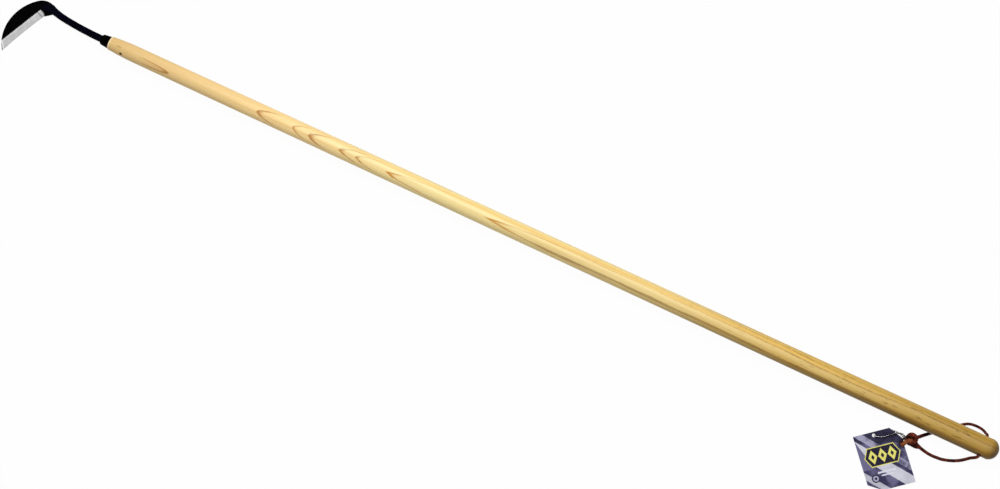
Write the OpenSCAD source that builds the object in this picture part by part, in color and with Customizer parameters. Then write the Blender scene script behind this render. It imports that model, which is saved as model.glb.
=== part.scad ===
// Long-handled weeding sickle with a half-moon blade, lying on a flat surface.
// Lengths are in millimetres. The pole runs along X, with its head end at low X, and Z is up.
// Until place() moves it, everything is measured from the end of the wood at the ferrule.

/* [Pole] */
// Length of the wooden pole
pole_len = 1400; // [900:10:1800]
// Diameter of the pole just before its round butt
butt_d = 30; // [27:0.5:34]
// Diameter of the pole where its rounded nose ends
nose_end_d = 24.4; // [23:0.2:26]
// Diameter that the rounded nose comes down to at its front
nose_tip_d = 20; // [19.2:0.2:21]
// Length of the rounded nose
nose_len = 46; // [30:1:80]
// Length of the domed end of the butt
dome_len = 12; // [8:0.5:13]

/* [Ferrule] */
// Length of the ferrule in front of the wood
ferrule_len = 13.5; // [11:0.5:18]
// Outer diameter at the front of the ferrule
ferrule_front_d = 15.6; // [15.2:0.2:17]
// Outer diameter at the back of the ferrule
ferrule_back_d = 18.4; // [18:0.2:19]
// Wall of the ferrule
ferrule_wall = 1.1; // [0.8:0.1:1.4]
// Rounding of the front rim of the ferrule
ferrule_round = 1.5; // [0.8:0.1:1.8]

/* [Neck and tang] */
// Width of the neck bar
bar_w = 9.8; // [9:0.2:10.6]
// Height of the neck bar where it leaves the ferrule
bar_h = 8; // [7:0.2:8.6]
// Distance from the ferrule to where the neck flattens into the palm
neck_reach = 92.5; // [78:0.5:115]
// Sideways offset of the neck at that place
neck_side = 14.3; // [8:0.5:20]
// Straight lead of the neck out of the ferrule
neck_lead = 24; // [16:1:32]
// Straight run of the neck into the palm
neck_trail = 19; // [14:1:26]
// Angle of the neck to the pole where it meets the palm
neck_turn = 22.5; // [12:0.5:28]
// Width of the neck where the palm begins
palm_root_w = 12.4; // [11.6:0.2:14]
// Width of the palm
palm_w = 13; // [11:0.5:14]
// Thickness of the palm
palm_t = 3.2; // [2.5:0.1:4]
// Length of the palm from its root to the centre of its round end
palm_len = 10.8; // [8:0.2:14]
// Turn of the palm back towards the cutting edge
palm_turn = 12.5; // [6:0.5:18]
// Length of the tang inside the wood
tang_len = 110; // [70:1:140]
// Width of the tang at the ferrule
tang_w = 8; // [6:0.2:8.6]
// Height of the tang at the ferrule
tang_h = 6.4; // [5:0.2:7]
// Length of the tang inside the neck bar, in front of the wood's spigot
tang_lap = 6; // [4:0.5:10]
// Width and height of the tang at its tip
tang_tip = 3.4; // [2.5:0.1:5]

/* [Tang pin] */
// Diameter of the pin through the pole and the tang
pin_d = 3; // [2:0.1:4]
// Distance of the pin from the end of the wood
pin_x = 23.5; // [15:0.5:32]
// Angle of the pin above the horizontal
pin_tilt = 26; // [0:1:45]
// Depth of the pin's ends below the surface of the wood
pin_sink = 0.3; // [0.1:0.1:1]

/* [Blade] */
// Length of the cutting edge
blade_len = 80; // [70:1:95]
// Greatest depth of the blade, from edge line to back
blade_depth = 32; // [30:0.5:35]
// Distance from the heel to the deepest place of the blade
blade_crest = 22; // [18:1:27]
// Thickness of the blade
blade_t = 3; // [2.4:0.1:3.6]
// Radius of the round back
back_r = 67.5; // [63:0.5:72]
// Radius of the heel
heel_r = 22.5; // [21:0.5:24]
// Turn of the back arc where the heel's arc takes over
heel_turn = 28.5; // [24:0.5:34]
// Slope of the short straight edge behind the heel corner
heel_slope = 30; // [20:1:40]
// Hollow of the cutting edge at its middle
edge_hollow = 1.2; // [0.5:0.1:3]
// Slant of the squared tip
tip_slant = 33; // [25:1:42]
// Angle of the blade's edge line to the pole
blade_angle = 69.4; // [55:0.1:85]
// Width of the ground bevel at the heel
bevel_heel_w = 10.8; // [8:0.2:12]
// Width of the ground bevel at the tip
bevel_tip_w = 12.6; // [9:0.2:14]
// Distance that the bevel plane passes in front of the edge line
bevel_lead = 1.5; // [0.8:0.1:2]
// Radius of the grinding run-out at the heel end of the bevel
bevel_runout_r = 12; // [8:0.5:16]
// Distance that the run-out passes the heel corner
bevel_runout = 4; // [1:0.2:5]
// Angle of the honed strip along the edge
hone_angle = 32; // [25:1:40]
// Width of the small bevel on the squared tip
tip_bevel_w = 1.6; // [0.8:0.1:2.4]
// Distance from the palm's side to the blade's rim
palm_margin = 5; // [4:0.1:6]
// Distance that the palm's end is set back past the middle of the heel
palm_rise = 3.1; // [1.5:0.1:4]

/* [Hanging lace] */
// Thickness of the leather lace
lace_d = 3.4; // [2.8:0.1:4]
// Diameter of the cross hole for the lace
lace_hole_d = 4.8; // [4.6:0.1:6]
// Distance of the lace hole from the butt end
lace_hole_inset = 23; // [19:1:30]
// Width of the countersink round each mouth of the lace hole
lace_hole_flare = 1.4; // [0.8:0.1:2]
// Radius of the middle turn of the knot, to the middle of the lace
knot_r = 7; // [6.6:0.1:7.4]
// Length of the knot between its outer turns
knot_len = 11; // [10:0.2:12]

/* [Tag] */
// Width of the card tag
tag_w = 66; // [60:1:75]
// Height of the card tag
tag_h = 83; // [70:1:95]
// Thickness of the card
card_t = 0.6; // [0.4:0.1:1]
// Cut of the clipped upper corner along the top of the card
top_clip_w = 13; // [6:0.5:16]
// Cut of the clipped upper corner down the side of the card
top_clip_h = 18; // [10:1:24]
// Cut of the clipped lower corner along the foot of the card
foot_clip_w = 19; // [10:1:26]
// Cut of the clipped lower corner up the side of the card
foot_clip_h = 12; // [6:1:18]
// Diameter of the punched hole
tag_hole_d = 5; // [4.4:0.1:6]
// Distance of the punched hole from the top edge of the card
tag_hole_inset = 5; // [4:0.5:7]
// Distance of the punched hole from the middle line of the card
tag_hole_side = 4; // [0:0.5:8]
// Turn of the card on the floor, from the pole's direction
tag_turn = 41; // [36:1:46]

/* [Ball chain] */
// Diameter of one bead
bead_d = 2.4; // [2:0.1:2.6]
// Distance from bead to bead, rounded to fit the loop
bead_pitch = 3.4; // [3.2:0.1:4]
// Diameter of the wire between the beads
link_d = 0.8; // [0.6:0.1:1.2]
// Outer diameter of the connector sleeve
clasp_d = 3.1; // [3:0.1:3.6]
// Wall of the connector sleeve
clasp_wall = 0.25; // [0.2:0.05:0.3]

/* [Fits] */
// Clearance between pieces that are driven or pressed together
drive_fit = 0.15; // [0.1:0.05:0.25]
// Gap under a piece that rests on another
seat_gap = 0.3; // [0.2:0.05:0.4]

/* [Hidden] */
$fn = 96;
big_fn = 720;
tiny = 0.01;
wood = "burlywood";
forged = [0.09, 0.09, 0.11];
leather = [0.42, 0.17, 0.09];
steel = "silver";
navy = [0.2, 0.19, 0.33];

// Pole
butt_r = butt_d / 2;
nose_end_r = nose_end_d / 2;
nose_drop = (nose_end_d - nose_tip_d) / 2;
nose_arc_r = (nose_len * nose_len + nose_drop * nose_drop) / (2 * nose_drop);
shoulder_r = ferrule_back_d / 2;
dome_r = (butt_r * butt_r + dome_len * dome_len) / (2 * dome_len);
lace_x = pole_len - lace_hole_inset;
axis_z = butt_r + lace_d + seat_gap;

// Ferrule and the wood's spigot in it
ferrule_slope = (ferrule_back_d - ferrule_front_d) / 2 / ferrule_len;
spigot_len = ferrule_len - ferrule_wall - drive_fit;
spigot_root_r = shoulder_r - ferrule_wall - drive_fit;
spigot_tip_r = spigot_root_r - ferrule_slope * spigot_len;

// Neck
neck_start = [-ferrule_len, 0];
palm_root = [-ferrule_len - neck_reach, neck_side];
neck_c1 = [-ferrule_len - neck_lead, 0];
neck_c2 = palm_root + neck_trail * [cos(neck_turn), -sin(neck_turn)];
palm_c = palm_root + palm_len / 2 * [-cos(neck_turn), sin(neck_turn)];
palm_end = palm_root + palm_len * [-cos(palm_turn), -sin(palm_turn)];
neck_rings = 28;
palm_rings = 6;
round_rings = 7;
corner_steps = 4;
corner_ratio = 0.28;
round_end_angle = 84.5;

// Blade, in its own frame: the heel corner at 0, the tip at low X, the back at high Y
back_c = [-blade_crest, blade_depth - back_r];
heel_c = back_c + (back_r - heel_r) * [sin(heel_turn), cos(heel_turn)];
edge_r = blade_len * blade_len / (8 * edge_hollow) + edge_hollow / 2;
edge_c = [-blade_len / 2, edge_hollow - edge_r];
palm_seat = heel_c + [heel_r - palm_w / 2 - palm_margin, palm_rise];
bevel_skew = atan((bevel_tip_w - bevel_heel_w) / blade_len);
bevel_angle = atan(blade_t / (bevel_heel_w + bevel_lead));
runout_c = [bevel_runout - bevel_runout_r, bevel_heel_w - bevel_runout];
tip_back = max(0, blade_len * tan(bevel_skew) - bevel_lead);

// Places on the whole object, before it is centred
heel_corner = palm_end - turned(palm_seat, blade_angle);
back_c_at = heel_corner + turned(back_c, blade_angle);
heel_c_at = heel_corner + turned(heel_c, blade_angle);
tip_at = heel_corner + turned([tip_back * tan(tip_slant) - blade_len, tip_back], blade_angle);
low_x = back_c_at[0] - back_r;
origin_x = (low_x + pole_len) / 2;
origin_y = (tip_at[1] + max(heel_c_at[1] + heel_r, butt_r)) / 2;

// Route of the lace: distance from the lace hole along the pole, distance across it, height.
// Where it lies on the floor its middle is at the height called low.
lace_sides = 8;
low = lace_d / 2 + 0.1;
turn_d = lace_d + 0.4;
turn_lean = 12;
lace_near_route = [
    [0, 0, axis_z], [0, -7, axis_z], [0, -14.5, axis_z], [-1, -17.4, 17.8], [-3.1, -19, 15.6],
    [-6, -19.8, 12.8], [-9.2, -21, 9.8], [-12.8, -23.2, 6.8], [-17.3, -26.2, 4.2],
    [-22.4, -29.2, 2.6], [-28.5, -32.2, low], [-36, -35.2, low], [-43.5, -37.4, low],
    [-51, -38.2, low], [-58.3, -38.6, low], [-65.5, -38, low], [-72.5, -36.7, 2.2],
    [-78.8, -35.3, 3.2], [-84, -33.8, 4.8], [-88.5, -32.2, 6.6]];
lace_far_route = [
    [0, 0, axis_z], [0, 7, axis_z], [0, 14.5, axis_z], [-0.8, 17.6, 17.6], [-2.2, 19.4, 14.6],
    [-3.9, 21.2, 11.6], [-6.3, 23.6, 8.6], [-9.6, 25.8, 5.8], [-14, 27.4, 3.5],
    [-19.5, 28, 2.2], [-25.5, 27.6, low], [-31.5, 25.6, low], [-37.2, 21.8, low],
    [-43, 16.8, low], [-48.8, 11.7, low], [-54.5, 6.6, low], [-60, 1.1, low], [-65.5, -3.5, low],
    [-70.8, -8.1, low], [-76, -13, 2.2], [-81, -18.2, 3.6], [-85.2, -23.2, 5.4],
    [-89, -27, 7]];
tail_high_route = [
    [-98.3, -28.6, 7.6], [-100.8, -31.3, 6.8], [-102.8, -34.6, 6.1], [-104.3, -38, 5.6],
    [-105.4, -41.2, 5.4]];
tail_low_route = [
    [-93.6, -33.4, 7.2], [-94.6, -36.8, 6.4], [-96.4, -40.8, 5.8], [-98.4, -44.4, 5.4],
    [-100.2, -47.4, 5.4]];
knot_at = [-92.4, -30.5, knot_r + turn_d / 2 + tiny];
knot_turn = 26;

// Route of the ball chain, on the same terms: up through the card, over it, round the upper
// tail and back under the card. The connector sleeve is on bead number clasp_first and the next.
tag_hole_at = [-142, -48];
tag_lift = clasp_d + seat_gap;
tag_tilt = asin(tag_lift / (tag_h - tag_hole_inset));
chain_route = [
    [-142, -48, 3.5], [-139.7, -48.3, 5.1], [-136.2, -47.9, 5.5], [-132.2, -46.4, 5.5],
    [-128.4, -43.7, 5.5], [-123.5, -39.4, 5.6], [-118.3, -34.8, 5.9], [-113.2, -31.2, 6.6],
    [-108.4, -29.8, 7.8], [-104.6, -31, 9.4], [-101.8, -33.2, 9.9], [-99.8, -35, 8],
    [-99.6, -35.3, 5], [-101.6, -33.8, 2.9], [-105, -31, 1.9], [-110, -29.2, 1.6],
    [-117.5, -28.6, 1.3], [-125, -29.8, 1.3], [-129.5, -33.5, 1.3], [-135.7, -40.4, 1.5],
    [-140, -45.2, 1.6]];
clasp_first = 25;
fine = 10;
clasp_slot_gap = 0.2;

// Small helpers
function turned(p, a) = [p[0] * cos(a) - p[1] * sin(a), p[0] * sin(a) + p[1] * cos(a)];
function mix(a, b, t) = a + (b - a) * t;
function unit(v) = v / norm(v);
function smooth(t) = t * t * (3 - 2 * t);
function flare(t) = pow(t, 8);
function cubic(a, b, c, d, t) =
    pow(1 - t, 3) * a + 3 * pow(1 - t, 2) * t * b + 3 * (1 - t) * t * t * c + pow(t, 3) * d;
function quadratic(a, b, c, t) = pow(1 - t, 2) * a + 2 * (1 - t) * t * b + t * t * c;

// Moves every piece so that the origin is under the middle of the tool
module place() {
    translate([-origin_x, -origin_y, 0]) children();
}

// Skin over a list of closed rings that all have the same number of points
module skin(rings) {
    sides = len(rings[0]);
    last = len(rings) - 1;
    walls = [for (i = [0:last - 1], k = [0:sides - 1])
        let (a = i * sides + k, b = i * sides + (k + 1) % sides)
        each [[a, a + sides, b], [b, a + sides, b + sides]]];
    caps = [[for (k = [0:sides - 1]) k], [for (k = [sides - 1:-1:0]) last * sides + k]];
    polyhedron([for (r = rings) each r], concat(walls, caps));
}

// Directions along a route, and side vectors carried along it without twist
function along(p, i) =
    i == 0 ? unit(p[1] - p[0]) :
    i == len(p) - 1 ? unit(p[i] - p[i - 1]) : unit(unit(p[i + 1] - p[i]) + unit(p[i] - p[i - 1]));
function carried(p, i, side) = unit(side - (side * along(p, i)) * along(p, i));
function sides_of(p, i, done) =
    i == len(p) ? done : sides_of(p, i + 1, concat(done, [carried(p, i, done[i - 1])]));

// Round tube along a route of the lace
module tube(route, d) {
    p = [for (q = route) q + [lace_x, 0, 0]];
    side = sides_of(p, 1, [carried(p, 0, [0, 0, 1])]);
    skin([for (i = [0:len(p) - 1])
        let (s = side[i], w = cross(along(p, i), s))
        [for (k = [0:lace_sides - 1])
            let (a = 360 * k / lace_sides)
            p[i] + d / 2 * (cos(a) * s - sin(a) * w)]]);
}

// Pole

module pole_profile() {
    polygon([[0, -spigot_len], [spigot_tip_r, -spigot_len], [spigot_root_r, 0],
        [spigot_root_r, nose_len], [0, nose_len]]);
    intersection() {
        polygon([[0, 0], [shoulder_r, 0], [nose_end_r, nose_end_r - shoulder_r],
            [nose_end_r, nose_len], [butt_r, pole_len], [0, pole_len]]);
        union() {
            translate([nose_end_r - nose_arc_r, nose_len]) circle(nose_arc_r, $fn = big_fn);
            translate([0, nose_len]) square([butt_d, pole_len]);
        }
        union() {
            translate([0, pole_len - dome_r]) circle(dome_r, $fn = big_fn);
            square([butt_d, pole_len - dome_len]);
        }
    }
}

// Radius of the pole's rounded nose at a distance x from the end of the wood
function nose_r(x) =
    nose_end_r - nose_arc_r + sqrt(nose_arc_r * nose_arc_r - pow(nose_len - x, 2));

module tang_wedge(grow) {
    reach = spigot_len + tang_lap;
    intersection() {
        linear_extrude(bar_w, center = true)
            polygon([[-reach, -tang_w / 2 - grow], [0, -tang_w / 2 - grow],
                [tang_len + grow, -tang_tip / 2 - grow], [tang_len + grow, tang_tip / 2 + grow],
                [0, tang_w / 2 + grow], [-reach, tang_w / 2 + grow]]);
        rotate([90, 0, 0]) linear_extrude(bar_w, center = true)
            polygon([[-reach, -tang_h / 2 - grow], [0, -tang_h / 2 - grow],
                [tang_len + grow, -tang_tip / 2 - grow], [tang_len + grow, tang_tip / 2 + grow],
                [0, tang_h / 2 + grow], [-reach, tang_h / 2 + grow]]);
    }
}

module along_pin(d, length) {
    translate([pin_x, 0, 0]) rotate([90 - pin_tilt, 0, 0]) cylinder(d = d, h = length, center = true);
}

module lace_hole() {
    flare_d = lace_hole_d + 2 * lace_hole_flare;
    translate([lace_x, 0, 0]) rotate([90, 0, 0]) {
        cylinder(d = lace_hole_d, h = 2 * butt_d, center = true);
        for (side = [0, 180]) rotate([side, 0, 0]) translate([0, 0, butt_r - 2 * lace_hole_flare])
            cylinder(d1 = lace_hole_d - tiny, d2 = flare_d + 2 * lace_hole_flare,
                h = 4 * lace_hole_flare);
    }
}

module pole() {
    color(wood) place() translate([0, 0, axis_z]) difference() {
        rotate([0, 90, 0]) rotate_extrude() pole_profile();
        tang_wedge(drive_fit);
        along_pin(pin_d + drive_fit, 2 * butt_d);
        lace_hole();
    }
}

// Ferrule: a pressed cup over the spigot, closed in front round the neck

module ferrule_profile() {
    front_r = ferrule_front_d / 2;
    difference() {
        polygon([[0, -ferrule_len], [front_r - ferrule_round, -ferrule_len],
            [front_r, -ferrule_len + ferrule_round], [shoulder_r, 0], [0, 0]]);
        polygon([[0, -spigot_len - drive_fit], [spigot_tip_r + drive_fit, -spigot_len - drive_fit],
            [spigot_root_r + drive_fit, tiny], [0, tiny]]);
    }
    intersection() {
        translate([front_r - ferrule_round - ferrule_slope, -ferrule_len + ferrule_round])
            circle(ferrule_round);
        translate([spigot_tip_r, -ferrule_len]) square([ferrule_back_d, ferrule_round]);
    }
}

module ferrule() {
    color(forged) place() translate([0, 0, axis_z]) difference() {
        rotate([0, 90, 0]) rotate_extrude() ferrule_profile();
        translate([-ferrule_len, 0, 0])
            cube([4 * ferrule_wall, bar_w + 2 * drive_fit, bar_h + 2 * drive_fit], center = true);
    }
}

// Neck and tang: one forged bar, round-cornered, that flattens into the palm on the blade

function neck_xy(t) = cubic(neck_start, neck_c1, neck_c2, palm_root, t);
function palm_xy(t) = quadratic(palm_root, palm_c, palm_end, t);
function bar_height(t) = mix(bar_h, palm_t, smooth(t));
function bar_floor(t) = mix(axis_z - bar_h / 2, blade_t, smooth(t));

// One ring: centre on the plan, heading, width, and the heights of its floor and its top
function bar_ring(at, heading, w, low, high) =
    let (r = min(w, high - low) * corner_ratio, aside = [-heading[1], heading[0]])
    [for (c = [[1, 1, 0], [-1, 1, 90], [-1, -1, 180], [1, -1, 270]], k = [0:corner_steps - 1])
        let (
            a = c[2] + 90 * k / (corner_steps - 1),
            y = c[0] * (w / 2 - r) + r * cos(a),
            z = (low + high) / 2 + c[1] * ((high - low) / 2 - r) + r * sin(a),
            q = at + y * aside)
        [q[0], q[1], z]];

neck_at = [for (i = [0:neck_rings]) neck_xy(i / neck_rings)];
palm_at = [for (i = [1:palm_rings]) palm_xy(i / palm_rings)];
palm_heading = unit(palm_end - palm_c);
round_end = [for (i = [1:round_rings]) sin(round_end_angle * i / round_rings)];

function heading_at(p, i) =
    i == 0 ? [-1, 0] :
    i == len(p) - 1 ? palm_heading : unit(p[i + 1] - p[i - 1]);

module neck_bar() {
    path = concat(neck_at, palm_at);
    inner = [-spigot_len - drive_fit, 0];
    skin(concat(
        [bar_ring(inner, [-1, 0], bar_w, axis_z - bar_h / 2, axis_z + bar_h / 2)],
        [for (i = [0:len(path) - 1])
            let (
                t = min(1, i / neck_rings),
                u = max(0, (i - neck_rings) / palm_rings),
                w = mix(mix(bar_w, palm_root_w, flare(t)), palm_w, u))
            bar_ring(path[i], heading_at(path, i), w, bar_floor(t), bar_floor(t) + bar_height(t))],
        [for (s = round_end)
            bar_ring(palm_end + palm_w / 2 * s * palm_heading, palm_heading,
                palm_w * sqrt(1 - s * s), blade_t, blade_t + palm_t)]));
}

module neck_tang() {
    color(forged) place() difference() {
        union() {
            neck_bar();
            translate([0, 0, axis_z]) tang_wedge(0);
        }
        translate([0, 0, axis_z]) along_pin(pin_d + drive_fit, 2 * butt_d);
    }
}

// Blade

module blade_outline() {
    difference() {
        intersection() {
            translate(back_c) circle(back_r, $fn = big_fn);
            union() {
                translate(heel_c) circle(heel_r, $fn = big_fn);
                translate(back_c) rotate(90 - heel_turn) square([back_r + blade_len, back_r + blade_len]);
            }
        }
        intersection() {
            translate(edge_c) circle(edge_r, $fn = big_fn);
            translate([-2 * blade_len, -blade_len]) square([2 * blade_len, 2 * blade_len]);
        }
        polygon([[0, 0], blade_len * [cos(heel_slope), -sin(heel_slope)], [0, -blade_len],
            [-heel_r, -heel_r]]);
        translate([-blade_len, 0]) rotate(-tip_slant) translate([-blade_len, -blade_len])
            square([blade_len, 3 * blade_len]);
    }
}

// Ground bevel and the honed strip along the edge, both tipwards of the grinding run-out
module edge_cut() {
    intersection() {
        union() {
            translate([0, -bevel_lead, 0]) rotate(-bevel_skew) rotate([bevel_angle, 0, 0])
                translate([-2 * blade_len, -blade_len, 0])
                    cube([4 * blade_len, 2 * blade_len, blade_len]);
            translate(concat(edge_c, 0)) cylinder(r1 = edge_r,
                r2 = edge_r + blade_t / tan(hone_angle), h = blade_t, $fn = big_fn);
        }
        translate([0, 0, -tiny]) linear_extrude(2 * blade_t) {
            translate(runout_c) circle(bevel_runout_r);
            translate([-2 * blade_len, -blade_len])
                square([2 * blade_len + runout_c[0], 2 * blade_len]);
        }
    }
}

module tip_cut() {
    translate([-blade_len, 0, blade_t - tip_bevel_w]) rotate(-tip_slant) rotate([0, -45, 0])
        translate([-blade_len, -blade_len, 0]) cube([2 * blade_len, 3 * blade_len, blade_len]);
}

module blade() {
    color(forged) place() translate(concat(heel_corner, 0)) rotate(blade_angle) difference() {
        linear_extrude(blade_t) blade_outline();
        edge_cut();
        tip_cut();
    }
}

// Pin through the pole and the tang

module tang_pin() {
    color(forged) place() translate([0, 0, axis_z]) along_pin(pin_d, 2 * (nose_r(pin_x) - pin_sink));
}

// Leather lace: two runs that meet inside the cross hole, the knot, and its two cut ends

module lace_near() {
    color(leather) place() tube(lace_near_route, lace_d);
}

module lace_far() {
    color(leather) place() tube(lace_far_route, lace_d);
}

module knot_turn_at(r, at, lean) {
    translate([at, 0, 0]) rotate([0, 0, lean]) rotate([0, 90, 0])
        rotate_extrude() translate([r, 0]) circle(d = turn_d);
}

module lace_knot() {
    outer_r = knot_r - turn_d / 4;
    color(leather) place() translate(knot_at + [lace_x, 0, 0]) rotate(knot_turn) {
        knot_turn_at(knot_r, 0, turn_lean);
        knot_turn_at(outer_r, -knot_len / 2, -turn_lean / 2);
        knot_turn_at(outer_r, knot_len / 2, turn_lean / 2);
        rotate([0, 90, 0]) cylinder(r = outer_r, h = knot_len, center = true);
    }
}

module lace_tails() {
    color(leather) place() {
        tube(tail_high_route, lace_d);
        tube(tail_low_route, lace_d);
    }
}

// Card tag

module tag_outline() {
    left = -tag_w / 2 + tag_hole_side;
    right = left + tag_w;
    top = tag_hole_inset;
    foot = top - tag_h;
    difference() {
        polygon([[left, top], [right - top_clip_w, top], [right, top - top_clip_h],
            [right, foot], [left + foot_clip_w, foot], [left, foot + foot_clip_h]]);
        circle(d = tag_hole_d);
    }
}

module tag_card() {
    color(navy) place() translate([lace_x + tag_hole_at[0], tag_hole_at[1], tag_lift])
        rotate([0, 0, tag_turn]) rotate([tag_tilt, 0, 0]) linear_extrude(card_t) tag_outline();
}

// Ball chain: a closed loop of beads on short wires, with a connector sleeve on two of them

function knot_point(p, i) = p[(i + len(p)) % len(p)];
function spline(a, b, c, d, t) =
    0.5 * (2 * b + (c - a) * t + (2 * a - 5 * b + 4 * c - d) * t * t
        + (3 * b - a - 3 * c + d) * t * t * t);
chain_fine = [for (i = [0:len(chain_route) - 1], k = [0:fine - 1])
    spline(knot_point(chain_route, i - 1), knot_point(chain_route, i),
        knot_point(chain_route, i + 1), knot_point(chain_route, i + 2), k / fine)];
function lengths(p, i, done) =
    i > len(p) ? done :
    lengths(p, i + 1, concat(done, [done[i - 1] + norm(p[i % len(p)] - p[i - 1])]));
chain_s = lengths(chain_fine, 1, [0]);
chain_len = chain_s[len(chain_fine)];
beads = round(chain_len / bead_pitch);

// Point at a distance s along the loop
function chain_at(s, i = 0) =
    chain_s[i + 1] >= s || i == len(chain_fine) - 1
        ? mix(chain_fine[i], chain_fine[(i + 1) % len(chain_fine)],
            (s - chain_s[i]) / (chain_s[i + 1] - chain_s[i]))
        : chain_at(s, i + 1);
bead_at = [for (i = [0:beads - 1]) chain_at(chain_len * (i + 0.5) / beads) + [lace_x, 0, 0]];

// Turns a piece that lies along Z so that it runs from a to b
module between(a, b) {
    v = b - a;
    translate(a) rotate([0, acos(v[2] / norm(v)), atan2(v[1], v[0])]) children();
}

module ball_chain() {
    color(steel) place() for (i = [0:beads - 1]) {
        next = bead_at[(i + 1) % beads];
        between(bead_at[i], next) {
            rotate([90, 0, 0]) sphere(d = bead_d, $fn = 24);
            if (i != clasp_first) cylinder(d = link_d, h = norm(next - bead_at[i]), $fn = 16);
        }
    }
}

module chain_clasp() {
    a = bead_at[clasp_first];
    b = bead_at[(clasp_first + 1) % beads];
    reach = norm(b - a) + bead_d;
    color(steel) place() between(a, b) translate([0, 0, norm(b - a) / 2]) difference() {
        cylinder(d = clasp_d, h = reach, center = true);
        cylinder(d = clasp_d - 2 * clasp_wall, h = 2 * reach, center = true);
        translate([0, 0, -reach]) rotate([0, 0, 90]) cube([clasp_d, link_d + clasp_slot_gap, 2 * reach]);
    }
}

pole();
ferrule();
neck_tang();
blade();
tang_pin();
lace_near();
lace_far();
lace_knot();
lace_tails();
ball_chain();
chain_clasp();
tag_card();
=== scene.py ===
import math
import bpy
from mathutils import Matrix, Vector, noise


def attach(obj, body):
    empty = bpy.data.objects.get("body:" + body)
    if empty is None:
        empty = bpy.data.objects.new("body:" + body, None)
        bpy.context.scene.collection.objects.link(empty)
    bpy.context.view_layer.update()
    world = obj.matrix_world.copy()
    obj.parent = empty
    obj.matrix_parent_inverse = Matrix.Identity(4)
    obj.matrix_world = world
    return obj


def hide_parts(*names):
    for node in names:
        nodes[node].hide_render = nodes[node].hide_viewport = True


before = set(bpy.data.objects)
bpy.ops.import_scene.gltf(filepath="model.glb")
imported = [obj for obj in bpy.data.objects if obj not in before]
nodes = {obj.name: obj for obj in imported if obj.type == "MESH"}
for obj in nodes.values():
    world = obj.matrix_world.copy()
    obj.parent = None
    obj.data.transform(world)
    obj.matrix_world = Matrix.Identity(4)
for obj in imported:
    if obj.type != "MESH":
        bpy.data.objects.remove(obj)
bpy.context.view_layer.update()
scene = bpy.context.scene

# Places
# Points are written from the wood's end at the ferrule, in millimetres, as the part's source
# does, and at() turns them into the frame's metres.
MM = 1000.0
ORIGIN = (622.225, -25.9382)
AXIS_Z = 18.7
HOLE_X = 1377.0
WOOD_LEN = 1400.0
FULL_TURN = 2 * math.pi
UPRIGHT = Vector((0, 0, 1))


def at(x, y, z):
    return Vector((x - ORIGIN[0], y - ORIGIN[1], z)) / MM


# Camera
AZIMUTH = math.radians(26.2346)
ELEVATION = math.radians(70)
CAMERA_PLACE = (1289.22, -1334.27, 4015.95)
LENS = 108
SENSOR = 36
NEAREST, FURTHEST = 0.05, 60
back = Vector((math.sin(AZIMUTH) * math.cos(ELEVATION),
               -math.cos(AZIMUTH) * math.cos(ELEVATION), math.sin(ELEVATION)))
right = Vector((math.cos(AZIMUTH), math.sin(AZIMUTH), 0))
up = back.cross(right)
camera = bpy.data.objects.new("camera", bpy.data.cameras.new("camera"))
scene.collection.objects.link(camera)
camera_matrix = Matrix((right, up, back)).transposed().to_4x4()
camera_matrix.translation = at(*CAMERA_PLACE)
camera.matrix_world = camera_matrix
camera.data.lens = LENS
camera.data.sensor_width = SENSOR
camera.data.clip_start = NEAREST
camera.data.clip_end = FURTHEST
scene.camera = camera

# Shader helper
# sockets of the Mix node that belong to colours
MIX_SHARE, MIX_FIRST, MIX_SECOND, MIX_RESULT = 0, 6, 7, 2
NOISE_MIDDLE = 0.5


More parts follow.
